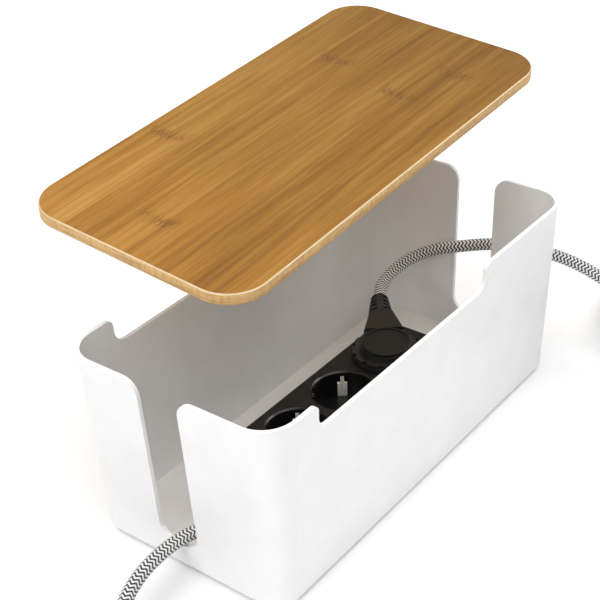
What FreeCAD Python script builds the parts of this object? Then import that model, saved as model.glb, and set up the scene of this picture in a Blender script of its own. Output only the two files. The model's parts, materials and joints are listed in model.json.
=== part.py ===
"""Cable tray with a loose bamboo lid, holding a three-way socket strip, an angled plug and two braided cords.

Frame: +X along the tray, +Y to its back, +Z up; the origin is the middle of the tray's flat underside.
"""
import FreeCAD, Part
import Sketcher
import math
import os
import re

DIMENSIONS = {
    # tray
    "tray_length": 300, "tray_width": 144, "tray_height": 122.5, "tray_corner": 20.5, "tray_draft": 6,
    "wall": 2.4, "floor_thickness": 3, "base_round": 5,
    "slot_width": 27.5, "slot_floor": 17.5, "slot_lower_round": 10.5, "slot_upper_round": 10,
    "left_slot_shift": 3.2, "right_slot_shift": -6.2,
    "recess_length": 161, "recess_shift": -31.5, "recess_depth": 16.5,
    "recess_lower_round": 8, "recess_upper_round": 4.5,
    # lid
    "lid_thickness": 7, "lid_overhang": 4.5, "lid_corner": 24, "lid_chamfer": 0.9,
    "lid_panel_drop": 2, "lid_panel_gap": 3, "lid_seat_gap": 0.2,
    "lid_forward": 60.6, "lid_rise": 55.2, "lid_tilt": 6.92, "lid_heading": 52.5,
    # socket strip
    "strip_length": 150.5, "strip_width": 54, "strip_height": 39, "strip_corner": 7, "strip_round": 2.5,
    "strip_middle_x": -0.75, "strip_middle_y": -7.8, "strip_wall": 2, "cover_thickness": 2,
    "socket_pitch": 45.4, "first_socket_x": -51, "socket_angle": 40,
    "cup_outer": 20.65, "cup_inner": 19.6, "cup_depth": 17.5, "cup_floor": 2, "cup_clearance": 0.1,
    "pin_spacing": 19, "pin_radius": 2.4, "pin_length": 19, "pin_hole": 2.9,
    "sleeve_outer": 3.5, "bar_width": 5, "bar_thickness": 1, "bar_level": 12,
    "earth_level": 18.5, "earth_width": 5, "clip_width": 6, "clip_reach": 19.1,
    "lead_level": 13, "finger_width": 2.25, "post_radius": 3.4, "screw_radius": 1.5, "screw_head": 2.9,
    "post_width": 4.5, "clamp_length": 7, "clamp_reach": 7.75, "clamp_thickness": 1.4,
    "clamp_screw_radius": 1.2, "inner_lead": 8.6, "core_radius": 0.9,
    # plugs and cords
    "cord_diameter": 8, "plug_insert": 18.6, "plug_lift": 0.5, "flange_radius": 21.5,
    "flange_height": 4.6,
    "cap_radius": 15.6, "cap_height": 5.6, "neck_reach": 33, "relief_reach": 53,
    "relief_bend": 5, "relief_lift": 8,
    "coil_radius": 40, "coil_width": 17.5, "coil_height": 24.5, "coil_clear": 1,
    "tie_width": 14, "tie_thickness": 1,
}

# The routes of the two leads, by hand: each starts at a strain relief and ends inside its coil.
STRIP_CORD_ROUTE = [(-98.7, -7.8, 13), (-115, -6.6, 15.2), (-133, -0.4, 21.4), (-153, 2.6, 23.2),
                    (-175, 2.4, 21.8), (-193, -0.6, 16.8), (-208, -8.5, 10.6), (-218.2, -21, 6.4),
                    (-227.2, -35.5, 5.2)]
DEVICE_CORD_ROUTE = [(81.6, 26, 50.2), (88.4, 30.6, 51.4), (96.1, 33.3, 52.7), (104.3, 34, 54.3),
                     (112.5, 32.9, 56.4), (120.2, 30, 58.9), (127, 25.4, 61.6), (132.5, 19.4, 64.2),
                     (136.6, 12.4, 66.2), (140.2, 5, 67.8), (143.9, -2.4, 69.2), (148.3, -10.6, 70.6),
                     (152.7, -20.5, 71.6), (156.9, -33, 72), (160.8, -46.8, 71.2), (164.8, -61.5, 68.6),
                     (168.6, -76.5, 63.6), (172.4, -91.5, 55.8), (176.6, -106.5, 45.8), (181.4, -121.5, 34.2),
                     (188, -135.5, 22.8), (197.3, -147, 13.2), (211, -154.8, 6.8)]
STRIP_COIL_CENTRE = (-260, -7)
DEVICE_COIL_CENTRE = (233, -117)
STRIP_TAIL_ROUTE = [(-303.5, -5.5, 13.2), (-304.5, 14.5, 13.6), (-298, 33, 19.1)]
DEVICE_TAIL_ROUTE = [(202, -86, 13.2), (188.5, -100, 12.8), (173.5, -111.5, 11.2), (157, -121.5, 10)]

X_AXIS, Y_AXIS, Z_AXIS = (FreeCAD.Vector(*axis) for axis in ((1, 0, 0), (0, 1, 0), (0, 0, 1)))

doc = FreeCAD.newDocument("CableTray")
sheet = doc.addObject("Spreadsheet::Sheet", "Dimensions")
for row, (alias, size) in enumerate(DIMENSIONS.items(), start=1):
    sheet.set("A%d" % row, alias)
    sheet.set("B%d" % row, str(size))
    sheet.setAlias("B%d" % row, alias)
doc.recompute()
nodes = []


def dim(alias):
    """A driving dimension's value, in millimetres or degrees."""
    return float(sheet.get(alias))


def formula(text):
    """A formula of driving dimensions as the document's expressions write it."""
    return re.sub(r"[a-z_]+", lambda word: ("Dimensions." if word[0] in DIMENSIONS else "") + word[0],
                  str(text))


def bind(item, **properties):
    for name, text in properties.items():
        item.setExpression(name, formula(text))
    return item


def place(item, position, rotation=None):
    """Puts an item at three formulas, turned by a rotation."""
    if rotation is not None:
        item.Placement = FreeCAD.Placement(FreeCAD.Vector(), rotation)
    for axis, text in zip("xyz", position):
        item.setExpression("Placement.Base." + axis, formula(text))
    return item


def group(*items):
    """Several items as one object of separate solids."""
    item = doc.addObject("Part::Compound", unique("Group"))
    item.Links = list(items)
    return item


def unique(kind):
    return "%s%d" % (kind, len(doc.Objects))


def box(length, width, height, corner=(0, 0, 0), rotation=None):
    item = bind(doc.addObject("Part::Box", unique("Box")), Length=length, Width=width, Height=height)
    return place(item, corner, rotation)


def cylinder(radius, height, base=(0, 0, 0), rotation=None):
    item = bind(doc.addObject("Part::Cylinder", unique("Cylinder")), Radius=radius, Height=height)
    return place(item, base, rotation)


def cone(radius, end_radius, height, base=(0, 0, 0), rotation=None):
    item = bind(doc.addObject("Part::Cone", unique("Cone")), Radius1=radius, Radius2=end_radius,
                Height=height)
    return place(item, base, rotation)


def wedge(start, end, low, high):
    """A taper along X between two rectangles, each given as a half width, a lower and an upper level."""
    item = doc.addObject("Part::Wedge", unique("Wedge"))
    bind(item, Ymin=start, Ymax=end, Xmin="-(%s)" % low[0], Xmax=low[0], Zmin=low[1], Zmax=low[2],
         X2min="-(%s)" % high[0], X2max=high[0], Z2min=high[1], Z2max=high[2])
    item.Placement = FreeCAD.Placement(FreeCAD.Vector(), turned(-90))
    return item


def fuse(*items):
    item = doc.addObject("Part::MultiFuse", unique("Fuse"))
    item.Shapes = list(items)
    item.Refine = True
    return item


def cut(base, *tools):
    """The base less every tool."""
    item = doc.addObject("Part::Cut", unique("Cut"))
    item.Base = base
    item.Tool = tools[0] if len(tools) == 1 else fuse(*tools)
    return item


def common(base, tool):
    item = doc.addObject("Part::MultiCommon", unique("Common"))
    item.Shapes = [base, tool]
    return item


def round_edges(base, radius, wanted, kind="Part::Fillet"):
    """Rounds or chamfers the edges whose middle passes a test."""
    doc.recompute()
    item = doc.addObject(kind, unique("Round"))
    item.Base = base
    item.Edges = [(number, radius, radius) for number, edge in enumerate(base.Shape.Edges, start=1)
                  if wanted(edge.valueAt((edge.FirstParameter + edge.LastParameter) / 2))]
    return item


def node(item, label, placement=None):
    """Names an item as a sub-part, and puts it in its place."""
    item.Label = label
    if placement is not None:
        item.Placement = placement
    nodes.append(item)
    return item


def rounded_rectangle(length, width, corner, level, middle=(0, 0)):
    """A sketch of a rounded rectangle on a level, its sides driven by formulas."""
    sketch = doc.addObject("Sketcher::SketchObject", unique("Outline"))
    place(sketch, (middle[0], middle[1], level))
    side, depth, radius = 100.0, 50.0, 5.0
    corners = [(sx * side / 2, sy * depth / 2) for sx, sy in ((1, 1), (-1, 1), (-1, -1), (1, -1))]
    for index, (x, y) in enumerate(corners):
        centre = FreeCAD.Vector(x - math.copysign(radius, x), y - math.copysign(radius, y), 0)
        start = index * math.pi / 2
        circle = Part.Circle(centre, Z_AXIS, radius)
        sketch.addGeometry(Part.ArcOfCircle(circle, start, start + math.pi / 2))
    for index in range(4):
        ends = sketch.Geometry[index].EndPoint, sketch.Geometry[(index + 1) % 4].StartPoint
        sketch.addGeometry(Part.LineSegment(*ends))
    limits = []
    for index in range(4):
        limits.append(Sketcher.Constraint("Tangent", index, 2, 4 + index, 1))
        limits.append(Sketcher.Constraint("Tangent", 4 + index, 2, (index + 1) % 4, 1))
        limits.append(Sketcher.Constraint("Horizontal" if index % 2 == 0 else "Vertical", 4 + index))
    limits += [Sketcher.Constraint("Equal", 0, index) for index in (1, 2, 3)]
    limits.append(Sketcher.Constraint("Symmetric", 0, 3, 2, 3, -1, 1))
    sketch.addConstraint(limits)
    for kind, text, ends in (("DistanceX", length, (5, 1, 7, 1)), ("DistanceY", width, (6, 1, 4, 1))):
        first_guess = side if kind == "DistanceX" else depth
        number = sketch.addConstraint(Sketcher.Constraint(kind, *ends, first_guess))
        sketch.setExpression("Constraints[%d]" % number, formula(text))
    number = sketch.addConstraint(Sketcher.Constraint("Radius", 0, radius))
    sketch.setExpression("Constraints[%d]" % number, formula(corner))
    return sketch


def extrude(sketch, height, direction=Z_AXIS):
    item = doc.addObject("Part::Extrusion", unique("Extrusion"))
    item.Base = sketch
    item.DirMode = "Custom"
    item.Dir = direction
    item.Solid = True
    return bind(item, LengthFwd=height)


def loft(*sketches):
    item = doc.addObject("Part::Loft", unique("Loft"))
    item.Sections = list(sketches)
    item.Solid = True
    item.Ruled = True
    return item


def notch(width, depth, lower, upper, thickness, place_at):
    """A solid that cuts a notch in a rim: rounded below, and flared by a radius where it meets the rim."""
    half, above = width / 2, 6.0
    corners = []

    def arc(centre_x, centre_z, radius, start, end):
        corners.append(Part.Arc(*(FreeCAD.Vector(centre_x + radius * math.cos(angle), 0,
                                                 centre_z + radius * math.sin(angle))
                                  for angle in (start, (start + end) / 2, end))).toShape())

    arc(-half - upper, -upper, upper, math.pi / 2, 0)
    arc(-half + lower, -depth + lower, lower, math.pi, 3 * math.pi / 2)
    arc(half - lower, -depth + lower, lower, 3 * math.pi / 2, 2 * math.pi)
    arc(half + upper, -upper, upper, math.pi, math.pi / 2)
    ends = [FreeCAD.Vector(x, 0, z) for x, z in ((half + upper, above), (-half - upper, above))]
    edges = []
    for index, edge in enumerate(corners):
        edges.append(edge)
        after = corners[index + 1].valueAt(corners[index + 1].FirstParameter) if index < 3 else ends[0]
        edges.append(Part.makeLine(edge.valueAt(edge.LastParameter), after))
    edges.append(Part.makeLine(ends[0], ends[1]))
    edges.append(Part.makeLine(ends[1], corners[0].valueAt(corners[0].FirstParameter)))
    face = Part.Face(Part.Wire(Part.__sortEdges__(edges)))
    item = doc.addObject("Part::Feature", unique("Notch"))
    item.Shape = face.extrude(FreeCAD.Vector(0, thickness, 0))
    item.Placement = place_at
    return item


def turned(angle, axis=Z_AXIS):
    return FreeCAD.Rotation(axis, angle)


def notch_at(x, y, heading):
    """The place of a notch tool: its rim middle, with its depth direction turned to a heading."""
    return FreeCAD.Placement(FreeCAD.Vector(x, y, dim("tray_height")), turned(heading))


def tray_shell():
    """The drafted white box, with a cable slot in each end and a long recess in each side's rim."""
    outer = loft(
        rounded_rectangle("tray_length - 2 * tray_draft", "tray_width - 2 * tray_draft",
                          "tray_corner - tray_draft", 0),
        rounded_rectangle("tray_length", "tray_width", "tray_corner", "tray_height"))
    outer = round_edges(outer, dim("base_round"), lambda middle: abs(middle.z) < 0.01)
    inner_base = "tray_draft * (1 - floor_thickness / tray_height) + wall"
    inner = loft(
        rounded_rectangle("tray_length - 2 * (%s)" % inner_base, "tray_width - 2 * (%s)" % inner_base,
                          "tray_corner - (%s)" % inner_base, "floor_thickness"),
        rounded_rectangle("tray_length - 2 * wall", "tray_width - 2 * wall", "tray_corner - wall",
                          "tray_height + 0.001"))
    slot_depth = dim("tray_height") - dim("slot_floor")
    slot_rounds = dim("slot_lower_round"), dim("slot_upper_round")
    recess_rounds = dim("recess_lower_round"), dim("recess_upper_round")
    reach = 20.0
    half_length, half_width = dim("tray_length") / 2, dim("tray_width") / 2
    tools = [
        notch(dim("slot_width"), slot_depth, *slot_rounds, reach,
              notch_at(-half_length + reach / 2, dim("left_slot_shift"), 90)),
        notch(dim("slot_width"), slot_depth, *slot_rounds, reach,
              notch_at(half_length + reach / 2, dim("right_slot_shift"), 90)),
        notch(dim("recess_length"), dim("recess_depth"), *recess_rounds, reach,
              notch_at(dim("recess_shift"), -half_width - reach / 2, 0)),
        notch(dim("recess_length"), dim("recess_depth"), *recess_rounds, reach,
              notch_at(dim("recess_shift"), half_width - reach / 2, 0))]
    return node(cut(outer, inner, *tools), "tray_shell")


def lid_pose():
    """The lid as it is held up: turned off its seat about a level axis above the tray's front left."""
    heading, tilt = math.radians(dim("lid_heading")), dim("lid_tilt")
    seat = FreeCAD.Vector(0, 0, dim("tray_height") + dim("lid_seat_gap") + dim("lid_thickness"))
    along = FreeCAD.Vector(math.cos(heading), math.sin(heading), 0)
    axis = FreeCAD.Vector(math.sin(heading), -math.cos(heading), 0)
    forward, rise = dim("lid_forward"), dim("lid_rise")
    arm = 1 / (2 * math.tan(math.radians(tilt) / 2))
    centre = seat + along * (forward / 2 - rise * arm) + Z_AXIS * (rise / 2 + forward * arm)
    print("lid axis through", centre, "along", axis)
    return FreeCAD.Placement(FreeCAD.Vector(), FreeCAD.Rotation(axis, tilt), centre)


def lid_board():
    """The bamboo board, with a raised panel under it that drops inside the rim."""
    seat = "tray_height + lid_seat_gap"
    board = extrude(rounded_rectangle("tray_length + 2 * lid_overhang", "tray_width + 2 * lid_overhang",
                                      "lid_corner", seat), "lid_thickness")
    top = dim("tray_height") + dim("lid_seat_gap") + dim("lid_thickness")
    board = round_edges(board, dim("lid_chamfer"), lambda middle: middle.z > top - 0.01, "Part::Chamfer")
    inset = "2 * (wall + lid_panel_gap)"
    panel = extrude(rounded_rectangle("tray_length - " + inset, "tray_width - " + inset,
                                      "tray_corner - wall - lid_panel_gap", seat + " - lid_panel_drop"),
                    "lid_panel_drop + 1")
    return node(fuse(board, panel), "lid_board", lid_pose())


def socket_middles():
    return [(dim("first_socket_x") + index * dim("socket_pitch"), dim("strip_middle_y"))
            for index in range(3)]


def strip_outline(inset, level):
    return rounded_rectangle("strip_length - 2 * (%s)" % inset, "strip_width - 2 * (%s)" % inset,
                             "strip_corner - (%s)" % inset, level, ("strip_middle_x", "strip_middle_y"))


def strip_top_housing():
    """The strip's black upper casing, open below, with a hole for each socket cup and for the lead."""
    top = dim("floor_thickness") + dim("strip_height")
    body = extrude(strip_outline("0", "floor_thickness + cover_thickness"), "strip_height - cover_thickness")
    body = round_edges(body, dim("strip_round"), lambda middle: middle.z > top - 0.01)
    hollow = extrude(strip_outline("strip_wall", "floor_thickness"), "strip_height - strip_wall")
    holes = [cylinder("cup_outer + cup_clearance", "strip_height + 5", (x, y, 0))
             for x, y in socket_middles()]
    lead_hole = cylinder("cord_diameter / 2 + 1", 30, ("strip_middle_x - strip_length / 2 - 15",
                                                       "strip_middle_y", "floor_thickness + lead_level - 3"),
                         turned(90, Y_AXIS))
    posts = [cylinder("post_radius", "strip_height - cover_thickness - 1",
                      (x, y, "floor_thickness + cover_thickness")) for x, y in screw_places()]
    bores = [cylinder("screw_radius + 0.1", 16, (x, y, "floor_thickness")) for x, y in screw_places()]
    return node(cut(fuse(cut(body, hollow, lead_hole, *holes), *posts), *bores), "strip_top_housing")


def screw_places():
    inset_x, inset_y = dim("strip_length") / 2 - 6.5, dim("strip_width") / 2 - 6.5
    return [(dim("strip_middle_x") + sx * inset_x, dim("strip_middle_y") + sy * inset_y)
            for sx in (-1, 1) for sy in (-1, 1)]


def clamp_left():
    """Where the cord clamp starts, as a formula."""
    return "strip_middle_x - strip_length / 2 + strip_wall + 1"


def strip_base_cover():
    """The strip's lower cover, with two posts for the cord clamp."""
    plate = extrude(strip_outline("0", "floor_thickness"), "cover_thickness - 0.05")
    bores = [cylinder("screw_radius + 0.2", 10, (x, y, 0)) for x, y in screw_places()]
    sinks = [cylinder("screw_head + 0.2", 1.1, (x, y, "floor_thickness")) for x, y in screw_places()]
    posts = [box("clamp_length", "post_width", "lead_level + cord_diameter / 2 - floor_thickness - 1",
                 (clamp_left(), "strip_middle_y + %f - post_width / 2" % (side * dim("clamp_reach")),
                  "floor_thickness + 1")) for side in (-1, 1)]
    threads = [cylinder("clamp_screw_radius + 0.1", 12, (x, y, "floor_thickness + 4"))
               for x, y in clamp_screw_places()]
    return node(cut(fuse(plate, *posts), *bores, *sinks, *threads), "strip_base_cover")


def strip_housing_screws():
    """Four screws up through the base cover into the casing's posts, as one group of separate solids."""
    screws = [fuse(cylinder("screw_radius", 14, (x, y, "floor_thickness + 0.1")),
                   cylinder("screw_head", 0.9, (x, y, "floor_thickness + 0.1"))) for x, y in screw_places()]
    return node(group(*screws), "strip_housing_screws")


def socket_place(index):
    """A socket's own frame: earth clips on X, pins on Y, Z up from the strip's top face."""
    x, y = socket_middles()[index]
    return FreeCAD.Placement(FreeCAD.Vector(x, y, dim("floor_thickness") + dim("strip_height")),
                             turned(dim("socket_angle")))


def socket_cup(index):
    """A recessed socket well with its two pin holes, guide ribs and earth clip slots."""
    height = "cup_depth + cup_floor"
    body = cylinder("cup_outer", height, (0, 0, "-(%s)" % height))
    well = cylinder("cup_inner", "cup_depth + 1", (0, 0, "-cup_depth"))
    lip = cone("cup_inner", "cup_inner + 1.1", 0.9, (0, 0, "-0.899"))
    pins = [cylinder("pin_hole", 10, (0, "%d * pin_spacing / 2" % side, "-cup_depth - 5"))
            for side in (-1, 1)]
    slot_corner = "cup_inner - 1", "-clip_width / 2 - 0.3", "-cup_depth - cup_floor - 2.5"
    slots = [turn_about_z(box(4, "clip_width + 0.6", "cup_depth + 1", slot_corner), angle)
             for angle in (0, 180)]
    inside = cylinder("cup_outer - 0.2", "cup_depth + 1", (0, 0, "-cup_depth - 0.5"))
    ribs = [turn_about_z(common(box(4, 4.6, "cup_depth - 1.5", ("cup_inner - 1.6", -2.3, "-cup_depth - 0.5")),
                                inside), angle) for angle in (90, 270)]
    shell = fuse(cut(body, well, lip, *pins, *slots), *ribs)
    return node(shell, "socket_cup_%d" % (index + 1), socket_place(index))


def bar_run():
    """Where the bus bars start, and how far they run."""
    beyond = 11.5
    return dim("first_socket_x") - beyond, 2 * (dim("socket_pitch") + beyond)


def contact_bar(side, label):
    """A brass bar under three sockets, with a contact sleeve standing at each one's pin."""
    angle = math.radians(dim("socket_angle"))
    reach = dim("pin_spacing") / 2
    offset_x, offset_y = -side * reach * math.sin(angle), side * reach * math.cos(angle)
    start, run = bar_run()
    bar_y = dim("strip_middle_y") + offset_y
    bar = box(run, "bar_width", "bar_thickness", (start, "%f - bar_width / 2" % bar_y, "bar_level"))
    spots = [(x + offset_x, bar_y) for x, _ in socket_middles()]
    sleeves = [cylinder("sleeve_outer", 9.5, (x, y, "bar_level")) for x, y in spots]
    bores = [cylinder("pin_radius + 0.3", 30, (x, y, 0)) for x, y in spots]
    return node(cut(fuse(bar, *sleeves), *bores), label)


def clip_arm(level):
    """One side of a socket's earth clip: a riser with a tab near the rim and two sprung fingers."""
    finger = "-clip_width / 2", "clip_width / 2 - finger_width"
    return fuse(
        box("cup_inner + 0.7", "clip_width", 0.8, (0, "-clip_width / 2", level)),
        box(0.9, "clip_width", -level - 8, ("cup_inner", "-clip_width / 2", level)),
        box(1.4, "finger_width", 5.5, ("cup_inner - 0.5", "-finger_width / 2", -9)),
        *[box(1.4, "finger_width", 6, ("clip_reach", side, -14.5)) for side in finger])


def earth_bus():
    """The earth bar, with a cross strip and two rising clips for each socket."""
    start, run = bar_run()
    bar = box(run, "earth_width", 0.8, (start, "strip_middle_y - earth_width / 2", "earth_level"))
    level = dim("earth_level") - dim("floor_thickness") - dim("strip_height")
    clips = []
    for index in range(3):
        clip = fuse(clip_arm(level), turn_about_z(clip_arm(level), 180))
        clip.Placement = socket_place(index)
        clips.append(clip)
    return node(fuse(bar, *clips), "earth_bus")


def clamp_screw_places():
    end = dim("strip_middle_x") - dim("strip_length") / 2
    middle_x = end + dim("strip_wall") + 1 + dim("clamp_length") / 2
    return [(middle_x, dim("strip_middle_y") + side * dim("clamp_reach")) for side in (-1, 1)]


def cord_clamp():
    """A bridge that grips the lead just inside the strip's left end."""
    corner = (clamp_left(), "strip_middle_y - clamp_reach - post_width / 2",
              "lead_level + cord_diameter / 2 + 0.05")
    bridge = box("clamp_length", "2 * clamp_reach + post_width", "clamp_thickness", corner)
    bores = [cylinder("clamp_screw_radius + 0.2", 20, (x, y, "lead_level"))
             for x, y in clamp_screw_places()]
    return node(cut(bridge, *bores), "cord_clamp")


def cord_clamp_screws():
    """Two screws through the clamp into the cover's posts, as one group of separate solids."""
    head = "lead_level + cord_diameter / 2 + 0.1 + clamp_thickness"
    screws = [fuse(cylinder("clamp_screw_radius", 9.5, (x, y, head + " - 9")),
                   cylinder(2.3, 1.4, (x, y, head))) for x, y in clamp_screw_places()]
    return node(group(*screws), "cord_clamp_screws")


def tangent_path(points):
    """A route as one wire: straight runs joined by tangent arcs as large as the runs allow."""
    points = [FreeCAD.Vector(*point) for point in points]
    runs = [after - before for before, after in zip(points, points[1:])]
    edges, radii, start = [], [], points[0]
    for point, before, after in zip(points[1:], runs, runs[1:]):
        turn = before.getAngle(after)
        shorter = min(before.Length, after.Length)
        reach = 0.45 * shorter
        radius = reach / math.tan(turn / 2)
        entry = point - before * (reach / before.Length)
        leave = point + after * (reach / after.Length)
        inward = (after / after.Length - before / before.Length).normalize()
        middle = point + inward * (radius / math.cos(turn / 2) - radius)
        edges += [Part.LineSegment(start, entry).toShape(), Part.Arc(entry, middle, leave).toShape()]
        radii.append(radius)
        start = leave
    edges.append(Part.LineSegment(start, points[-1]).toShape())
    return Part.Wire(edges), radii


def cord(points, label):
    """A lead's tube along a route."""
    path, radii = tangent_path(points)
    radius = dim("cord_diameter") / 2
    first = path.Edges[0]
    circle = Part.Circle(first.valueAt(first.FirstParameter), first.tangentAt(first.FirstParameter), radius)
    tube = path.makePipeShell([Part.Wire(circle.toShape())], True, False)
    expected = math.pi * radius ** 2 * path.Length
    print("%s: length %.1f, volume ratio %.4f, radii %s" % (
        label, path.Length, tube.Volume / expected, [round(bend) for bend in radii]))
    item = doc.addObject("Part::Feature", unique("Cord"))
    item.Shape = tube
    return node(item, label)


def coil(centre, label):
    """The outer shape of a put-away coil: a ring lying on its tie."""
    outer = "coil_radius + coil_width / 2"
    ring = cut(cylinder(outer, "coil_height", (*centre, "coil_clear")),
               cylinder("coil_radius - coil_width / 2", "coil_height + 2", (*centre, 0)))
    ring = round_edges(ring, 5, lambda middle: True)
    return node(ring, label)


def coil_tie(centre, heading, ring, label):
    """A strap round the coil's turns, on the side that faces a heading."""
    sleeve = box("coil_width + 2 * tie_thickness", "tie_width", "coil_height + 2 * tie_thickness",
                 ("-coil_width / 2 - tie_thickness", "-tie_width / 2", 0))
    reach = dim("coil_radius")
    angle = math.radians(heading)
    place_at = FreeCAD.Vector(centre[0] + reach * math.cos(angle), centre[1] + reach * math.sin(angle), 0)
    sleeve = round_edges(sleeve, 2.5, lambda middle: abs(middle.y) < 0.01)
    sleeve.Placement = FreeCAD.Placement(place_at, turned(heading))
    return node(cut(sleeve, ring), label)


def wire(points, radius, label):
    """A stiff inner wire along straight runs and arcs."""
    path, _ = tangent_path(points)
    first = path.Edges[0]
    circle = Part.Circle(first.valueAt(first.FirstParameter), first.tangentAt(first.FirstParameter), radius)
    item = doc.addObject("Part::Feature", unique("Wire"))
    item.Shape = path.makePipeShell([Part.Wire(circle.toShape())], True, False)
    return node(item, label)


def inner_wires():
    """The lead's end inside the strip, and its three cores to the bars."""
    inside = dim("strip_middle_x") - dim("strip_length") / 2 + dim("strip_wall")
    middle_y = dim("strip_middle_y")
    level, radius = dim("lead_level"), dim("core_radius")
    node(cylinder("cord_diameter / 2", "inner_lead", (inside + 0.2, middle_y, level), turned(90, Y_AXIS)),
         "lead_inner_end")
    start = inside + dim("inner_lead") + 0.4
    bar_start, _ = bar_run()
    on_bar = dim("bar_level") + dim("bar_thickness") + radius + 0.05
    reach = dim("pin_spacing") / 2 * math.cos(math.radians(dim("socket_angle")))
    for label, side in (("live_wire", 1), ("neutral_wire", -1)):
        wire([(start, middle_y + side * 1.8, level), (start + 1, middle_y + side * 2, level + 0.2),
              (bar_start - 0.5, middle_y + side * (reach - 0.2), on_bar),
              (bar_start + 1.4, middle_y + side * reach, on_bar)], radius, label)
    under_bar = dim("earth_level") - radius - 0.05
    wire([(start, middle_y, level + 1.6), (start + 1, middle_y, level + 1.9),
          (bar_start + 1.5, middle_y, under_bar), (bar_start + 5, middle_y + 0.01, under_bar)],
         radius, "earth_wire")


def strip_cord_relief():
    """The tapered bend protector at the strip's left end, held by a collar inside the casing."""
    left = "strip_middle_x - strip_length / 2"
    along = turned(-90, Y_AXIS)
    level = ("strip_middle_y", "floor_thickness + lead_level - 3")
    sleeve = cone(6.3, 4.7, 22.5, (left + " - 0.05", *level), along)
    collar = cylinder(4.9, "strip_wall + 0.05", (left + " + strip_wall", *level), along)
    return node(fuse(sleeve, collar), "strip_cord_relief")


def plug_place():
    """The angled plug's frame in the third socket: its lead leaves along X, with Z = 0 at the strip's top."""
    return socket_place(2)


def plug_body():
    """The angled plug's moulded body: the insert, a castellated flange and the neck to the lead."""
    insert = cylinder("plug_insert", "cup_depth - plug_lift + 0.7", (0, 0, "plug_lift - cup_depth"))
    flats = [box(6.4, 5, 30, (-3.2, side * (dim("plug_insert") + 0.1) - 2.5, -29.3)) for side in (-1, 1)]
    seats = [box(4, 6.6, 17, (side * (dim("plug_insert") + 1.0) - 2, -3.3, -17.1)) for side in (-1, 1)]
    insert = cut(insert, *flats, *seats)
    flange = cylinder("flange_radius", "flange_height", (0, 0, 0.7))
    notches = []
    count = 12
    for index in range(count):
        angle = 360 * (index + 0.5) / count
        tooth = box(3, 3.4, 2.4, (dim("flange_radius") - 1.6, -1.7, dim("flange_height") + 0.7 - 2.2))
        notches.append(turn_about_z(tooth, angle))
    flange = cut(flange, *notches)
    top = "flange_height + 0.7"
    core = cylinder("cap_radius + 1", "cap_height - 2.2", (0, 0, top + " - 0.5"))
    shoulder = wedge("cap_radius / 2", "neck_reach", ("cap_radius - 1", 1, 8.1), (8, 1, 8.1))
    collar = wedge("cap_radius + 0.4", "neck_reach", (12.8, 1, 10), (7.8, 0.6, 12.4))
    collar = round_edges(collar, 2, lambda middle: abs(middle.y) > 9 and middle.z > 9)
    return node(fuse(insert, flange, core, shoulder, collar), "plug_body", plug_place())


def turn_about_z(item, angle):
    """Turns a placed item about the Z axis through the origin."""
    gathered = group(item)
    gathered.Placement = FreeCAD.Placement(FreeCAD.Vector(), turned(angle))
    return gathered


def plug_cap():
    """The raised round cap on the plug's back."""
    level = "flange_height + 0.7 - 0.5 + cap_height - 2.2"
    disc = cylinder("cap_radius", 2.6, (0, 0, level))
    disc = round_edges(disc, 0.8, lambda middle: middle.z > dim("flange_height") + dim("cap_height"))
    dish = cylinder("cap_radius - 2.2", 1, (0, 0, level + " + 2.1"))
    return node(cut(disc, dish), "plug_cap", plug_place())


def plug_pins(label, place_at, face_level):
    """Two round pins with rounded tips, as one group of separate solids."""
    pins = []
    for side in (-1, 1):
        base = (0, "%d * pin_spacing / 2" % side, "%f - pin_length" % face_level)
        pin = cylinder("pin_radius", "pin_length", base)
        pin = round_edges(pin, 1.6, lambda middle: middle.z < face_level - dim("pin_length") + 0.01)
        pins.append(pin)
    return node(group(*pins), label, place_at)


def earth_contacts(label, place_at, face_level):
    """The two earth strips let into a plug's sides."""
    strips = [box(0.9, 5.6, 14, (side * (dim("plug_insert") - 0.45) - 0.45, -2.8, face_level + 0.4))
              for side in (-1, 1)]
    return node(group(*strips), label, place_at)


def slotted_relief(start, length, root, tip, level, bends, label, place_at):
    """A tapered oval bend protector along X, slotted down both sides, bent sideways and lifted."""
    bend, lift = (math.radians(angle) for angle in bends)
    widest = max(root[0], tip[0])
    spine, gap = 2.3, 2.1

    def station(part):
        """The place of a cross-section at a part of the sleeve's length."""
        across = FreeCAD.Vector(start + length * part, -length * part ** 2 * math.tan(bend) / 2,
                                level + length * part ** 2 * math.tan(lift) / 2)
        return FreeCAD.Placement(across, turned(-math.degrees(bend) * part))

    rings = []
    for index in range(5):
        part = index / 4
        across, upright = (wide + (narrow - wide) * part for wide, narrow in zip(root, tip))
        at = station(part)
        corner = [at.multVec(FreeCAD.Vector(0, across * side, upright * high))
                  for side, high in ((1, 0), (0, 1))]
        outline = Part.Ellipse(*corner, at.Base) if across > upright + 0.01 else Part.Circle(
            at.Base, at.Rotation.multVec(X_AXIS), upright)
        rings.append(Part.Wire(outline.toShape()))
    sleeve = Part.makeLoft(rings, True, False)
    for index in range(4):
        for side in (-1, 1):
            inner = spine if side > 0 else -spine - widest
            slot = Part.makeBox(gap, widest, 2 * widest, FreeCAD.Vector(-gap / 2, inner, -widest))
            slot.Placement = station(0.17 + 0.23 * index)
            sleeve = sleeve.cut(slot)
    item = doc.addObject("Part::Feature", unique("Relief"))
    item.Shape = sleeve
    return node(item, label, place_at)


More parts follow.
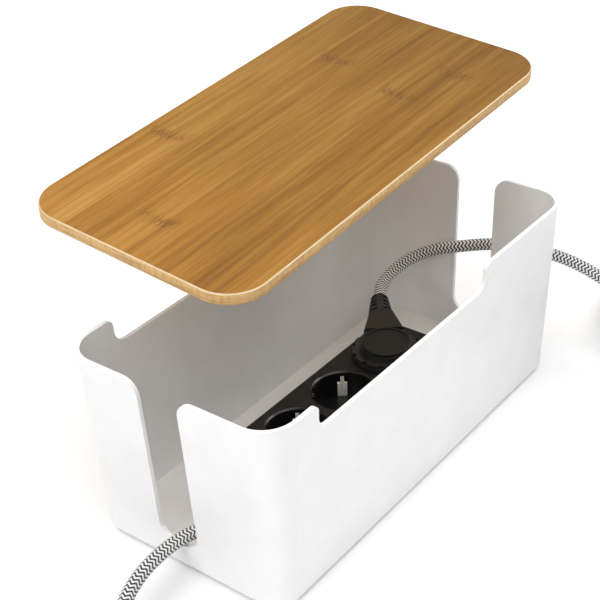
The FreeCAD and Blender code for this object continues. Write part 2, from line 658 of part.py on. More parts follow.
def plug():
    """The device's angled plug, which pulls straight up out of the third socket."""
    plug_body()
    plug_cap()
    face = dim("plug_lift") - dim("cup_depth")
    plug_pins("plug_pins", plug_place(), face)
    earth_contacts("plug_earth_contacts", plug_place(), face)
    slotted_relief(dim("neck_reach"), dim("relief_reach") - dim("neck_reach"), (8.7, 6.2), (5.7, 5), 6.5,
                   (dim("relief_bend"), dim("relief_lift")), "plug_cord_relief", plug_place())


def wall_plug():
    """The strip lead's own straight plug, lying on its side past the coil."""
    heading = math.degrees(math.atan2(STRIP_TAIL_ROUTE[-1][1] - STRIP_TAIL_ROUTE[-2][1],
                                      STRIP_TAIL_ROUTE[-1][0] - STRIP_TAIL_ROUTE[-2][0]))
    level = dim("plug_insert") + 0.5
    end = FreeCAD.Vector(*STRIP_TAIL_ROUTE[-1])
    along = FreeCAD.Vector(math.cos(math.radians(heading)), math.sin(math.radians(heading)), 0)
    reach = 62.0
    lie = FreeCAD.Rotation(Z_AXIS, heading).multiply(FreeCAD.Rotation(Y_AXIS, -90))
    face = FreeCAD.Placement(FreeCAD.Vector(end.x, end.y, level) + along * reach, lie)
    body = cylinder("plug_insert", 17, (0, 0, 0))
    seats = [box(4, 6.6, 17.5, (side * (dim("plug_insert") + 1.0) - 2, -3.3, -0.1)) for side in (-1, 1)]
    flats = [box(6.4, 5, 17.5, (-3.2, side * (dim("plug_insert") + 0.1) - 2.5, -0.1)) for side in (-1, 1)]
    grip = cone("plug_insert", 13, 12, (0, 0, 17))
    rear = cone(13, 8, 11, (0, 0, 29))
    node(cut(fuse(body, grip, rear), *seats, *flats), "wall_plug_body", face)
    plug_pins("wall_plug_pins", face, 0)
    earth_contacts("wall_plug_earth_contacts", face, 0)
    node(group(cone(6.6, 4.6, reach - 40 - 0.1, (0, 0, 40))), "wall_plug_relief", face)


def device_connector():
    """The three-pole appliance connector at the device lead's far end, lying flat."""
    heading = math.degrees(math.atan2(DEVICE_TAIL_ROUTE[-1][1] - DEVICE_TAIL_ROUTE[-2][1],
                                      DEVICE_TAIL_ROUTE[-1][0] - DEVICE_TAIL_ROUTE[-2][0]))
    end = FreeCAD.Vector(*DEVICE_TAIL_ROUTE[-1])
    base = FreeCAD.Placement(end, turned(heading))
    shell = box(26, 24, 16.2, (31.2, -12, -10))
    shell = round_edges(shell, 2.5, lambda middle: 31.3 < middle.x < 57.1 and abs(middle.y) > 11.9)
    grip = box(12, 20, 14, (21.2, -10, -8.5))
    bores = [box(15, 2.4, 4.6, (43.2, y - 1.2, z - 2.3)) for y, z in ((-7, -3.4), (7, -3.4), (0, 0.4))]
    node(cut(fuse(shell, grip), *bores), "connector_body", base)
    contacts = [box(12, 2.0, 3.6, (43.4, y - 1.0, z - 1.8)) for y, z in ((-7, -3.4), (7, -3.4), (0, 0.4))]
    node(group(*contacts), "connector_contacts", base)
    slotted_relief(0.1, 21, (4.9, 4.8), (7.4, 6.8), 0, (0, 0), "connector_relief", base)


def leads():
    strip_cord_relief()
    cord(STRIP_CORD_ROUTE, "strip_cord")
    ring = coil(STRIP_COIL_CENTRE, "strip_cord_coil")
    coil_tie(STRIP_COIL_CENTRE, -140, ring, "strip_coil_tie")
    cord(STRIP_TAIL_ROUTE, "strip_cord_tail")
    wall_plug()
    cord(DEVICE_CORD_ROUTE, "device_cord")
    ring = coil(DEVICE_COIL_CENTRE, "device_cord_coil")
    coil_tie(DEVICE_COIL_CENTRE, 60, ring, "device_coil_tie")
    cord(DEVICE_TAIL_ROUTE, "device_cord_tail")
    device_connector()


def export():
    """Checks every object, then writes each sub-part."""
    doc.recompute()
    for item in doc.Objects:
        if {"Invalid", "Error"} & set(item.State):
            raise RuntimeError("%s (%s) failed: %s" % (item.Name, item.Label, item.State))
    os.makedirs("parts", exist_ok=True)
    for item in nodes:
        shape = item.Shape
        if shape.isNull() or not shape.isValid() or not shape.Solids:
            raise RuntimeError("%s has no valid solid" % item.Label)
        shape.exportStep(os.path.join("parts", item.Label + ".step"))
        extent = shape.BoundBox
        print("%-26s solids %2d volume %9.1f  x %7.1f %7.1f  y %7.1f %7.1f  z %6.1f %6.1f" % (
            item.Label, len(shape.Solids), shape.Volume, extent.XMin, extent.XMax, extent.YMin, extent.YMax,
            extent.ZMin, extent.ZMax))


tray_shell()
lid_board()
strip_base_cover()
strip_top_housing()
strip_housing_screws()
for number in range(3):
    socket_cup(number)
contact_bar(1, "live_busbar")
contact_bar(-1, "neutral_busbar")
earth_bus()
cord_clamp()
cord_clamp_screws()
inner_wires()
plug()
leads()
export()
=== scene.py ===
"""The cable tray's look: white tray, bamboo lid, black socket strip and plug, and two braided leads.

Everything is in metres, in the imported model's frame. Routes and outlines are listed in millimetres.
"""
import json
import math

import bmesh
import bpy
from mathutils import Matrix, Vector


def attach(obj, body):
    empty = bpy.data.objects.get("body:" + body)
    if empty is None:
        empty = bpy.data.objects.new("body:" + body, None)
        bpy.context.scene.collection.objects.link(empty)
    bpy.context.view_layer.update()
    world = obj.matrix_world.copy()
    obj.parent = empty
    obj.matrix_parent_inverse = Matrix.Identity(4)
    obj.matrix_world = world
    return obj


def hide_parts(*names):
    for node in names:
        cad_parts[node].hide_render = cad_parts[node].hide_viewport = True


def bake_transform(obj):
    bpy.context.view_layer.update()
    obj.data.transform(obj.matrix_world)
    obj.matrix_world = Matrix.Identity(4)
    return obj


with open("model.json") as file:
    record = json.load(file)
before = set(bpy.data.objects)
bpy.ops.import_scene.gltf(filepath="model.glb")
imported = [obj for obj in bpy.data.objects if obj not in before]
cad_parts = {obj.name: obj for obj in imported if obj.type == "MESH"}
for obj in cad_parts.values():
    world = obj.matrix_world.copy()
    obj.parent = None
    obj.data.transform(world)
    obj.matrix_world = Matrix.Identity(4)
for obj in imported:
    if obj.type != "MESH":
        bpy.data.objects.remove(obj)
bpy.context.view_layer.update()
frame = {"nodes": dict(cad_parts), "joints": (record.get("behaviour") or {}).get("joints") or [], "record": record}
MM = 0.001

# ---------------------------------------------------------------- materials


class Graph:
    """One material and the nodes that make its look."""

    def __init__(self, name, **values):
        self.material = bpy.data.materials.new(name)
        self.material.use_nodes = True
        self.tree = self.material.node_tree
        self.shader = self.tree.nodes["Principled BSDF"]
        self.set(**values)

    def set(self, **values):
        for name, value in values.items():
            self.feed(self.shader.inputs[name.replace("_", " ")], value)

    def feed(self, socket, value):
        if isinstance(value, bpy.types.NodeSocket):
            self.tree.links.new(value, socket)
        else:
            socket.default_value = value

    def add(self, kind, *inputs, **settings):
        node = self.tree.nodes.new(kind)
        for key, value in settings.items():
            setattr(node, key, value)
        for place, value in inputs:
            self.feed(node.inputs[place], value)
        return node

    def math(self, operation, *values, clamp=False):
        inputs = list(enumerate(values))
        return self.add("ShaderNodeMath", *inputs, operation=operation, use_clamp=clamp).outputs[0]

    def coordinates(self, kind="Object"):
        return self.add("ShaderNodeTexCoord").outputs[kind]

    def stretched(self, vector, scale, shift=(0, 0, 0)):
        node = self.add("ShaderNodeMapping", ("Vector", vector), ("Scale", scale), ("Location", shift))
        return node.outputs[0]

    def noise(self, vector, scale, detail=3.0, roughness=0.5, distortion=0.0):
        node = self.add("ShaderNodeTexNoise", ("Vector", vector), ("Scale", scale), ("Detail", detail),
                        ("Roughness", roughness), ("Distortion", distortion))
        return node.outputs["Fac"]

    def ramp(self, factor, *stops):
        node = self.add("ShaderNodeValToRGB", (0, factor))
        elements = node.color_ramp.elements
        while len(elements) < len(stops):
            elements.new(0.5)
        for element, (place, colour) in zip(elements, stops):
            element.position = place
            element.color = (*colour, 1)
        return node.outputs[0]

    def mix(self, factor, a, b, blend="MIX"):
        node = self.add("ShaderNodeMix", (0, factor), (6, a), (7, b), data_type="RGBA", blend_type=blend)
        return node.outputs[2]

    def spread(self, value, low, high, to_low=0.0, to_high=1.0):
        node = self.add("ShaderNodeMapRange", (0, value), (1, low), (2, high), (3, to_low), (4, to_high))
        return node.outputs[0]

    def bump(self, height, distance, strength=1.0):
        node = self.add("ShaderNodeBump", ("Height", height), ("Distance", distance),
                        ("Strength", strength))
        self.feed(self.shader.inputs["Normal"], node.outputs[0])


def grey(value):
    return (value, value, value)


def moulded(name, dark, light, roughness, grain=2200.0, depth=0.00002, patch=45.0, gloss=0.5):
    """Moulded plastic: a fine spark texture, faint cloudy colour and a roughness that wanders."""
    graph = Graph(name, Specular_IOR_Level=gloss)
    place = graph.coordinates()
    cloud = graph.noise(place, patch, 4.0)
    wander = graph.noise(place, patch * 5, 3.0)
    graph.set(Base_Color=graph.ramp(cloud, (0.3, dark), (0.7, light)),
              Roughness=graph.spread(wander, 0.3, 0.7, roughness - 0.05, roughness + 0.06))
    graph.bump(graph.noise(place, grain, 2.0), depth)
    return graph.material


def polished(name, dark, light, roughness, metallic=1.0):
    """Stamped or turned metal with fine drawn lines and slightly tarnished patches."""
    graph = Graph(name, Metallic=metallic)
    place = graph.coordinates()
    lines = graph.noise(graph.stretched(place, (400, 400, 6000)), 1.0, 2.0)
    patches = graph.noise(place, 160.0, 3.0)
    graph.set(Base_Color=graph.ramp(patches, (0.3, dark), (0.7, light)),
              Roughness=graph.spread(lines, 0.3, 0.7, roughness - 0.06, roughness + 0.1))
    graph.bump(lines, 0.00001)
    return graph.material


BOARD_STRIP = 0.0215
BOARD_LAYER = 0.0023
# the middles of the knuckle marks on the lid's top, in millimetres
KNUCKLES = ((-54.4, 59.6), (-122.7, 5.9), (77.8, 32.7), (62.9, -23.3), (105.5, -39.7))
KNUCKLE_LENGTH, KNUCKLE_WIDTH, KNUCKLE_BOW, KNUCKLE_RAGGEDNESS = 0.0042, 0.0125, 26.0, 0.014


def bamboo_top():
    """Flat-pressed bamboo: wide strips along X, long fibres, jagged knuckle marks across them, and a darkening
    towards the board's +X end that is partly the board's own tone and partly painted shade.
    """
    graph = Graph("bamboo_top", Specular_IOR_Level=0.25)
    place = graph.coordinates()
    split = graph.add("ShaderNodeSeparateXYZ", (0, place))
    along, across = split.outputs[0], split.outputs[1]
    strip = graph.math("FLOOR", graph.math("MULTIPLY", across, 1 / BOARD_STRIP))
    tone = graph.add("ShaderNodeTexWhiteNoise", (1, strip), noise_dimensions="1D").outputs[0]
    slow = graph.noise(graph.stretched(place, (3.2, 40, 1)), 1.0, 4.0, 0.55, 0.4)
    streak = graph.noise(graph.stretched(place, (9, 260, 1)), 1.0, 5.0, 0.6, 0.2)
    fibre = graph.noise(graph.stretched(place, (26, 1500, 1)), 1.0, 4.0, 0.65)
    wood = graph.math("ADD", graph.math("MULTIPLY", slow, 0.5), graph.math("MULTIPLY", streak, 0.5))
    wood = graph.math("ADD", wood, graph.math("MULTIPLY", graph.math("SUBTRACT", tone, 0.5), 0.11))
    colour = graph.ramp(wood, (0.30, (0.172, 0.068, 0.006)), (0.44, (0.266, 0.117, 0.014)),
                        (0.55, (0.330, 0.160, 0.026)), (0.70, (0.410, 0.220, 0.050)))
    # darker towards +X: partly the board's own darker strips, partly painted shade standing in for light falling
    # off away from the left
    tone_and_painted_falloff = graph.spread(along, -0.15, 0.15, 1.22, 0.80)
    pores_and_painted_falloff = graph.math("MULTIPLY", graph.spread(fibre, 0.34, 0.6, 0.80, 1.05), tone_and_painted_falloff)
    shade = graph.add("ShaderNodeCombineColor", (0, pores_and_painted_falloff), (1, pores_and_painted_falloff), (2, pores_and_painted_falloff)).outputs[0]
    colour = graph.mix(1.0, colour, shade, "MULTIPLY")
    ragged = graph.noise(graph.stretched(place, (90, 330, 1)), 1.0, 3.0, 0.6, 0.6)
    strokes = graph.noise(graph.stretched(place, (150, 640, 1)), 1.0, 2.0, 0.5, 1.2)
    mark = None
    for x, y in KNUCKLES:
        bow = graph.math("MULTIPLY", graph.math("POWER", graph.math("SUBTRACT", across, y * MM), 2.0),
                         KNUCKLE_BOW)
        lean = graph.math("SUBTRACT", graph.math("SUBTRACT", along, x * MM), bow)
        wander = graph.math("MULTIPLY", graph.math("SUBTRACT", ragged, 0.5), KNUCKLE_RAGGEDNESS)
        beyond = graph.math("DIVIDE", graph.math("ADD", lean, wander), KNUCKLE_LENGTH)
        aside = graph.math("DIVIDE", graph.math("SUBTRACT", across, y * MM), KNUCKLE_WIDTH)
        reach = graph.math("ADD", graph.math("POWER", graph.math("ABSOLUTE", beyond), 2.0),
                           graph.math("POWER", graph.math("ABSOLUTE", aside), 6.0))
        spot = graph.math("EXPONENT", graph.math("MULTIPLY", reach, -1.0))
        mark = spot if mark is None else graph.math("MAXIMUM", mark, spot)
    broken = graph.math("MULTIPLY", mark, graph.spread(strokes, 0.44, 0.56))
    colour = graph.mix(graph.math("MULTIPLY", mark, 0.22), colour, (0.23, 0.095, 0.018, 1))
    colour = graph.mix(graph.math("MULTIPLY", broken, 0.72), colour, (0.13, 0.045, 0.007, 1))
    graph.set(Base_Color=colour, Roughness=graph.spread(streak, 0.3, 0.7, 0.40, 0.52))
    graph.bump(graph.math("SUBTRACT", fibre, graph.math("MULTIPLY", broken, 1.2)), 0.00006)
    return graph.material


def bamboo_side():
    """The board's cut edge and underside: pale pressed layers of differing tone."""
    graph = Graph("bamboo_side")
    place = graph.coordinates()
    split = graph.add("ShaderNodeSeparateXYZ", (0, place))
    layer = graph.math("FLOOR", graph.math("MULTIPLY", split.outputs[2], 1 / BOARD_LAYER))
    tone = graph.add("ShaderNodeTexWhiteNoise", (1, layer), noise_dimensions="1D").outputs[0]
    grain = graph.noise(graph.stretched(place, (60, 60, 1500)), 1.0, 4.0, 0.6)
    ends = graph.noise(graph.stretched(place, (420, 420, 90)), 1.0, 3.0)
    wood = graph.math("ADD", graph.math("MULTIPLY", grain, 0.5), graph.math("MULTIPLY", ends, 0.3))
    wood = graph.math("ADD", wood, graph.math("MULTIPLY", tone, 0.22))
    colour = graph.ramp(wood, (0.32, (0.44, 0.245, 0.078)), (0.52, (0.68, 0.43, 0.170)),
                        (0.70, (0.80, 0.58, 0.300)))
    graph.set(Base_Color=colour, Roughness=graph.spread(ends, 0.3, 0.7, 0.5, 0.66))
    graph.bump(grain, 0.00005)
    return graph.material


def bamboo_chamfer_painted_highlight():
    """The planed edge between top and side: pale outer wood, lightened further by a painted highlight along the
    edge.
    """
    # the pale colour here is partly the wood's own and partly a painted highlight
    graph = Graph("bamboo_chamfer_painted_highlight", Coat_Weight=0.25, Coat_Roughness=0.25)
    grain = graph.noise(graph.stretched(graph.coordinates(), (120, 120, 120)), 1.0, 3.0)
    graph.set(Base_Color=graph.ramp(grain, (0.3, (0.60, 0.46, 0.27)), (0.7, (0.72, 0.57, 0.36))),
              Roughness=graph.spread(grain, 0.3, 0.7, 0.34, 0.46))
    return graph.material


# the braid: the length of a black and white pair, zigzags round the lead, and yarns round it
PERIOD = 2.45 * MM
ZIGZAGS = 6.0
YARNS = 40


def braid():
    """Black and white zigzag braid over a tube whose U counts zigzags along it and V goes round it."""
    graph = Graph("braid", Sheen_Weight=0.25, Sheen_Roughness=0.5)
    split = graph.add("ShaderNodeSeparateXYZ", (0, graph.coordinates("UV")))
    along, around = split.outputs[0], split.outputs[1]
    zigzag = graph.math("PINGPONG", graph.math("MULTIPLY", around, ZIGZAGS), 0.5)
    soft = graph.add("ShaderNodeMapRange", (0, zigzag), (1, 0.0), (2, 0.5), (3, 0.0), (4, 1.0),
                     interpolation_type="SMOOTHSTEP").outputs[0]
    shifted = graph.math("ADD", along, graph.math("MULTIPLY", soft, 0.55))
    phase = graph.math("PINGPONG", shifted, 0.5)
    stripe = graph.spread(phase, 0.215, 0.285)
    yarns = graph.math("ABSOLUTE", graph.math("SINE", graph.math("MULTIPLY", around, math.pi * YARNS)))
    rows = graph.math("ABSOLUTE", graph.math("SINE", graph.math("MULTIPLY", shifted, math.pi * 2)))
    thread = graph.math("ADD", graph.math("MULTIPLY", yarns, 0.5), graph.math("MULTIPLY", rows, 0.5))
    # both yarn colours darken where thread is low, in the grooves between yarns and rows: painted shade
    pale = graph.ramp(thread, (0.1, grey(0.50)), (0.6, grey(0.84)))
    dark = graph.ramp(thread, (0.1, grey(0.006)), (0.8, grey(0.028)))
    graph.set(Base_Color=graph.mix(stripe, pale, dark), Roughness=graph.spread(thread, 0, 1, 0.9, 0.7))
    graph.bump(thread, 0.00022)
    return graph.material


STRAP_THREAD = 0.0007


def woven(name, colour):
    """A woven strap: a plain weave of fine threads."""
    graph = Graph(name, Sheen_Weight=0.3)
    place = graph.coordinates()
    split = graph.add("ShaderNodeSeparateXYZ", (0, place))
    turns = [graph.math("MULTIPLY", axis, math.pi / STRAP_THREAD) for axis in split.outputs]
    waves = [graph.math("ABSOLUTE", graph.math("SINE", turn)) for turn in turns]
    weave = graph.math("ADD", graph.math("MULTIPLY", waves[0], waves[2]), waves[1])
    fuzz = graph.noise(place, 1800.0)
    shadow = tuple(part * 0.4 for part in colour)
    graph.set(Base_Color=graph.ramp(graph.math("MULTIPLY", weave, fuzz), (0.1, shadow), (0.8, colour)),
              Roughness=graph.spread(fuzz, 0, 1, 0.75, 0.95))
    graph.bump(weave, 0.0001)
    return graph.material


WHITE = moulded("white_satin", grey(0.83), grey(0.87), 0.42, depth=0.000012)
BLACK = moulded("black_fine_matt", (0.0075, 0.0075, 0.008), (0.0125, 0.0125, 0.013), 0.48, gloss=0.3)
WELL = moulded("black_well", grey(0.004), grey(0.007), 0.30, grain=1500.0)
CAP = moulded("black_cap", (0.0065, 0.0065, 0.007), (0.010, 0.010, 0.0105), 0.36, grain=2600.0, gloss=0.3)
CORE = moulded("core_insulation_brown", (0.16, 0.06, 0.025), (0.22, 0.085, 0.035), 0.4)
BLUE = moulded("core_insulation_blue", (0.02, 0.09, 0.38), (0.03, 0.13, 0.48), 0.4)
GREEN = moulded("core_insulation_green", (0.12, 0.36, 0.03), (0.62, 0.60, 0.03), 0.4, patch=500.0)
BRASS = polished("rolled_brass", (0.66, 0.44, 0.14), (0.85, 0.63, 0.28), 0.28)
NICKEL = polished("nickel_plate", (0.70, 0.66, 0.56), (0.88, 0.85, 0.78), 0.2)
CLIP = polished("satin_nickel", (0.80, 0.78, 0.70), (0.95, 0.93, 0.86), 0.3, metallic=0.35)
PLUG = moulded("black_satin", (0.011, 0.011, 0.012), (0.018, 0.018, 0.019), 0.40, gloss=0.45)
ZINC = polished("zinc_plate", grey(0.45), grey(0.62), 0.34)
BRAID = braid()
STRAP = woven("woven_strap", grey(0.03))

CAD_MATERIALS = {
    "white_plastic": WHITE, "black_plastic": BLACK, "black_gloss": CAP, "brass": BRASS, "nickel": NICKEL,
    "steel": ZINC, "braid": BRAID, "copper_red": CORE, "blue": BLUE, "green": GREEN, "strap": STRAP,
    "bamboo": bamboo_side(),
}


def paint(piece, *materials):
    piece.data.materials.clear()
    for material in materials:
        piece.data.materials.append(material)


for part in frame["record"]["subparts"]:
    paint(frame["nodes"][part["node"]], CAD_MATERIALS[part["material_slot"]])
for number in (1, 2, 3):
    paint(frame["nodes"]["socket_cup_%d" % number], WELL)
for name in ("plug_body", "plug_cord_relief"):
    paint(frame["nodes"][name], PLUG)
paint(frame["nodes"]["earth_bus"], CLIP)

# ---------------------------------------------------------------- camera, light and floor


def camera():
    """The camera at the photograph's angle."""
    data = bpy.data.cameras.new("camera")
    data.sensor_width = 36
    data.lens = 79.63
    heading, down, roll = 38.99, 31.61, 3.10
    turn = (Matrix.Rotation(math.radians(heading - 90), 4, "Z")
            @ Matrix.Rotation(math.radians(90 - down), 4, "X")
            @ Matrix.Rotation(math.radians(-roll), 4, "Z"))
    item = bpy.data.objects.new("camera", data)
    item.matrix_world = Matrix.Translation((-0.52658, -0.39916, 0.50800)) @ turn
    bpy.context.scene.collection.objects.link(item)
    bpy.context.scene.camera = item


def softbox(name, place, target, size, power):
    """A rectangular soft light that faces a point."""
    data = bpy.data.lights.new(name, "AREA")
    data.shape = "RECTANGLE"
    data.size, data.size_y = size
    data.energy = power
    item = bpy.data.objects.new(name, data)
    item.location = place
    item.rotation_euler = (Vector(target) - Vector(place)).to_track_quat("-Z", "Y").to_euler()
    bpy.context.scene.collection.objects.link(item)


def studio():
    """A pale floor under a wide light from above and three smaller ones from the left and the front."""
    world = bpy.data.worlds.new("studio")
    world.use_nodes = True
    world.node_tree.nodes["Background"].inputs[0].default_value = (1, 1, 1, 1)
    world.node_tree.nodes["Background"].inputs[1].default_value = 0.38
    bpy.context.scene.world = world
    bpy.context.scene.view_settings.view_transform = "Standard"
    softbox("light_top", (0.09, 0.09, 3.0), (0, 0, 0.05), (4.5, 3.75), 102)
    softbox("light_left", (-1.2, 0.1, 0.8), (0, 0, 0.08), (0.7, 0.7), 6)
    softbox("light_front_right", (1.2, -0.7, 1.2), (0.1, 0.05, 0.08), (0.8, 0.6), 7)
    softbox("light_front_left", (-0.8, -0.9, 1.2), (-0.1, 0.05, 0.08), (0.6, 0.6), 2)
    graph = Graph("floor_white", Roughness=0.9)
    cloud = graph.noise(graph.coordinates(), 3.0)
    graph.set(Base_Color=graph.ramp(cloud, (0.3, grey(0.90)), (0.7, grey(0.92))))
    mesh = bpy.data.meshes.new("floor")
    side, drop = 6.0, 0.0004
    corners = [(-side, -side, 0), (side, -side, 0), (side, side, 0), (-side, side, 0)]
    mesh.from_pydata(corners, [], [(0, 1, 2, 3)])
    floor = bpy.data.objects.new("floor", mesh)
    floor.location.z = -drop
    bpy.context.scene.collection.objects.link(floor)
    paint(floor, graph.material)


camera()
studio()

# ---------------------------------------------------------------- leads

DIAMETER = 8 * MM
# each lead's route, its coil's centre and its tail, in millimetres
STRIP_ROUTE = [(-98.7, -7.8, 13), (-115, -6.6, 15.2), (-133, -0.4, 21.4), (-153, 2.6, 23.2),
               (-175, 2.4, 21.8), (-193, -0.6, 16.8), (-208, -8.5, 10.6), (-218.2, -21, 6.4),
               (-227.2, -35.5, 5.2)]
DEVICE_ROUTE = [(81.6, 26, 50.2), (88.4, 30.6, 51.4), (96.1, 33.3, 52.7), (104.3, 34, 54.3),
                (112.5, 32.9, 56.4), (120.2, 30, 58.9), (127, 25.4, 61.6), (132.5, 19.4, 64.2),
                (136.6, 12.4, 66.2), (140.2, 5, 67.8), (143.9, -2.4, 69.2), (148.3, -10.6, 70.6),
                (152.7, -20.5, 71.6), (156.9, -33, 72), (160.8, -46.8, 71.2), (164.8, -61.5, 68.6),
                (168.6, -76.5, 63.6), (172.4, -91.5, 55.8), (176.6, -106.5, 45.8), (181.4, -121.5, 34.2),
                (188, -135.5, 22.8), (197.3, -147, 13.2), (211, -154.8, 6.8)]
STRIP_COIL_CENTRE = (-260, -7)
DEVICE_COIL_CENTRE = (233, -117)
STRIP_TAIL = [(-303.5, -5.5, 13.2), (-304.5, 14.5, 13.6), (-298, 33, 19.1)]
DEVICE_TAIL = [(202, -86, 13.2), (188.5, -100, 12.8), (173.5, -111.5, 11.2), (157, -121.5, 10)]
# each turn's radius and height in a coil: two on the floor, up the inside, out over the top, then below it
TURNS = [(44.2, 5.2), (35.8, 5.2), (35.8, 13.3), (35.8, 21.4), (44.2, 21.4), (44.2, 13.3)]


def coil_points(centre, start, way, degrees):
    """A wound coil's points. Each turn passes to its next place a little sooner than the one before."""
    step, passing, sooner = 22.5, 62.0, 37.0
    slack, waver, wave = 1.004, 0.004, 2.3
    points = []
    for index in range(int(degrees / step) + 1):
        swept = index * step
        for turn in range(len(TURNS)):
            finish = (turn + 1) * 360.0 - turn * sooner
            if swept <= finish or turn == len(TURNS) - 1:
                here, after = TURNS[turn], TURNS[min(turn + 1, len(TURNS) - 1)]
                part = min(max((swept - finish + passing) / passing, 0), 1)
                part = part * part * (3 - 2 * part)
                radius, level = (a + (b - a) * part for a, b in zip(here, after))
                break
        angle = math.radians(start + way * swept)
        loose = slack + waver * math.sin(wave * math.radians(swept))
        points.append((centre[0] + radius * loose * math.cos(angle),
                       centre[1] + radius * loose * math.sin(angle), level))
    return points


def centreline(name, points):
    """A route's smooth line, as the points of its NURBS spline."""
    curve = bpy.data.curves.new(name, "CURVE")
    curve.dimensions = "3D"
    curve.resolution_u = 6
    spline = curve.splines.new("NURBS")
    spline.points.add(len(points) - 1)
    for point, place in zip(spline.points, points):
        point.co = (*[part * MM for part in place], 1)
    spline.order_u = 3
    spline.use_endpoint_u = True
    guide = bpy.data.objects.new(name, curve)
    mesh = bpy.data.meshes.new_from_object(guide)
    line = [vertex.co.copy() for vertex in mesh.vertices]
    bpy.data.objects.remove(guide)
    bpy.data.meshes.remove(mesh)
    return [line[0]] + [b for a, b in zip(line, line[1:]) if (b - a).length > 1e-5]


def tube(name, line, radius, material, period, sides=24):
    """A tube along a line. Its UV counts periods along it, and goes once round it."""
    rings, turn, run = [], None, 0.0
    for index, place in enumerate(line):
        before, after = line[max(index - 1, 0)], line[min(index + 1, len(line) - 1)]
        ahead = (after - before).normalized()
        if turn is None:
            side = ahead.orthogonal().normalized()
        else:
            side = (turn - ahead * turn.dot(ahead)).normalized()
            run += (place - line[index - 1]).length
        turn = side
        up = ahead.cross(side)
        rings.append((run / period, [place + (side * math.cos(a) + up * math.sin(a)) * radius
                                     for a in (2 * math.pi * k / sides for k in range(sides))]))
    mesh = bmesh.new()
    uv = mesh.loops.layers.uv.new("UVMap")
    rows = [[mesh.verts.new(place) for place in ring] for _, ring in rings]
    for index in range(len(rows) - 1):
        for k in range(sides):
            after = (k + 1) % sides
            face = mesh.faces.new((rows[index][k], rows[index][after], rows[index + 1][after],
                                   rows[index + 1][k]))
            face.smooth = True
            corners = ((rings[index][0], k), (rings[index][0], k + 1), (rings[index + 1][0], k + 1),
                       (rings[index + 1][0], k))
            for loop, (u, v) in zip(face.loops, corners):
                loop[uv].uv = (u, v / sides)
    mesh.faces.new(list(reversed(rows[0])))
    mesh.faces.new(rows[-1])
    data = bpy.data.meshes.new(name)
    mesh.normal_update()
    mesh.to_mesh(data)
    mesh.free()
    piece = bpy.data.objects.new(name, data)
    bpy.context.scene.collection.objects.link(piece)
    paint(piece, material)
    return piece


def strip_lead():
    points = STRIP_ROUTE + coil_points(STRIP_COIL_CENTRE, start=-69, way=-1, degrees=1890) + STRIP_TAIL
    line = centreline("strip_lead_line", points)
    piece = tube("strip_lead", line, DIAMETER / 2, BRAID, PERIOD)
    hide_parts("strip_cord", "strip_cord_coil", "strip_cord_tail")
    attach(piece, "tray")


def device_lead():
    points = DEVICE_ROUTE + coil_points(DEVICE_COIL_CENTRE, start=-98, way=1, degrees=1665) + DEVICE_TAIL
    line = centreline("device_lead_line", points)
    piece = tube("device_lead", line, DIAMETER / 2, BRAID, PERIOD)
    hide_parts("device_cord", "device_cord_coil", "device_cord_tail")
    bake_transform(piece)


strip_lead()
device_lead()

# ---------------------------------------------------------------- lid


def rounded_outline(length, width, radius, segments=14):
    """A rounded rectangle's outline, counter-clockwise."""
    outline = []
    for index, (sx, sy) in enumerate(((1, 1), (-1, 1), (-1, -1), (1, -1))):
        centre = Vector((sx * (length / 2 - radius), sy * (width / 2 - radius)))
        for step in range(segments + 1):
            angle = math.pi / 2 * (index + step / segments)
            outline.append(centre + radius * Vector((math.cos(angle), math.sin(angle))))
    return outline


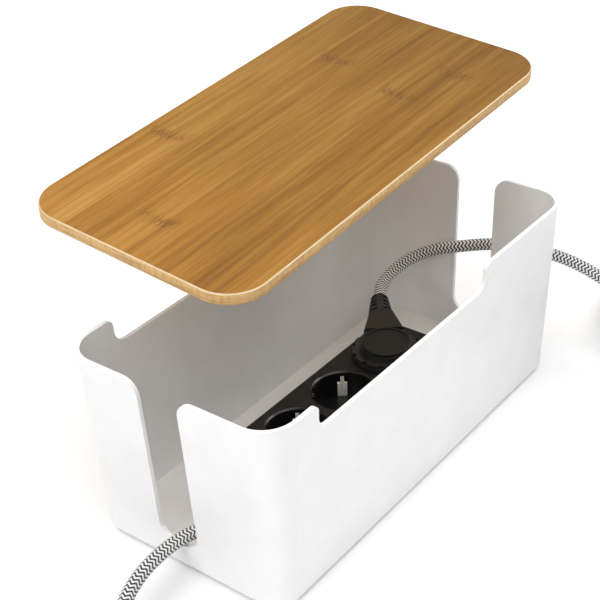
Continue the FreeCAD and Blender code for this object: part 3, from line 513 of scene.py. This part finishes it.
def lid():
    """The bamboo board with its planed edge and the raised panel under it, in its own frame."""
    joint = next(item for item in frame["joints"] if item["name"] == "lid_lift")
    length, width, corner, thickness = 309 * MM, 153 * MM, 24 * MM, 7 * MM
    rows = []
    # inset in millimetres, height, and the material of the face above: side 1, planed edge 2
    levels = [(0.35, -thickness, 1), (0.0, -thickness + 0.35 * MM, 1), (0.0, -0.72 * MM, 1),
              (0.08, -0.60 * MM, 2), (0.60, -0.08 * MM, 2), (0.74, 0.0, 0)]
    mesh = bmesh.new()
    for inset, level, _ in levels:
        outline = rounded_outline(length - 2 * inset * MM, width - 2 * inset * MM, corner - inset * MM)
        rows.append([mesh.verts.new((place.x, place.y, level)) for place in outline])
    count = len(rows[0])
    for (_, _, kind), low, high in zip(levels, rows, rows[1:]):
        for k in range(count):
            face = mesh.faces.new((low[k], low[(k + 1) % count], high[(k + 1) % count], high[k]))
            face.material_index = kind
            face.smooth = True
    top = mesh.faces.new(rows[-1])
    top.material_index = 0
    panel_side, panel_depth = 1.6 * MM, 2 * MM
    panel = rounded_outline(289.2 * MM, 133.2 * MM, 15.1 * MM)
    foot = rounded_outline(288.4 * MM, 132.4 * MM, 14.7 * MM)
    upper = [mesh.verts.new((place.x, place.y, -thickness)) for place in panel]
    middle = [mesh.verts.new((place.x, place.y, -thickness - panel_side)) for place in panel]
    lower = [mesh.verts.new((place.x, place.y, -thickness - panel_depth)) for place in foot]
    for outer, inner in ((rows[0], upper), (upper, middle), (middle, lower)):
        for k in range(count):
            face = mesh.faces.new((outer[k], inner[k], inner[(k + 1) % count], outer[(k + 1) % count]))
            face.material_index = 1
    bottom = mesh.faces.new(list(reversed(lower)))
    bottom.material_index = 3
    data = bpy.data.meshes.new("lid")
    piece = bpy.data.objects.new("lid", data)
    paint(piece, bamboo_top(), CAD_MATERIALS["bamboo"], bamboo_chamfer_painted_highlight(), CAD_MATERIALS["bamboo"])
    mesh.normal_update()
    mesh.to_mesh(data)
    mesh.free()
    bpy.context.scene.collection.objects.link(piece)
    rim_height, gap = 122.5, 0.2
    seat = Matrix.Translation((0, 0, (rim_height + gap) * MM + thickness))
    pivot = Vector(joint["pos_m"])
    swing = Matrix.Rotation(-math.radians(joint["range_deg"][0]), 4, Vector(joint["axis"]))
    piece.matrix_world = Matrix.Translation(pivot) @ swing @ Matrix.Translation(-pivot) @ seat
    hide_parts("lid_board")
    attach(piece, "lid")


lid()

# ---------------------------------------------------------------- tray, strip and plug edges

EDGES = {
    "tray_shell": 0.8, "strip_top_housing": 0.3, "strip_base_cover": 0.3, "strip_cord_relief": 0.4,
    "socket_cup_1": 0.3, "socket_cup_2": 0.3, "socket_cup_3": 0.3,
    "plug_body": 0.35, "plug_cap": 0.3, "plug_cord_relief": 0.25,
    "wall_plug_body": 0.6, "wall_plug_relief": 0.4, "connector_body": 0.4, "connector_relief": 0.3,
    "strip_coil_tie": 0.3, "device_coil_tie": 0.3,
}
SHARP = math.radians(35)


def round_edges(name, width):
    """Rounds a CAD piece's sharp edges, which then catch the light as moulded ones do."""
    item = frame["nodes"][name].modifiers.new("edge", "BEVEL")
    item.width = width * MM
    item.segments = 3 if name == "tray_shell" else 2
    item.limit_method = "ANGLE"
    item.angle_limit = SHARP


for name, width in EDGES.items():
    round_edges(name, width)
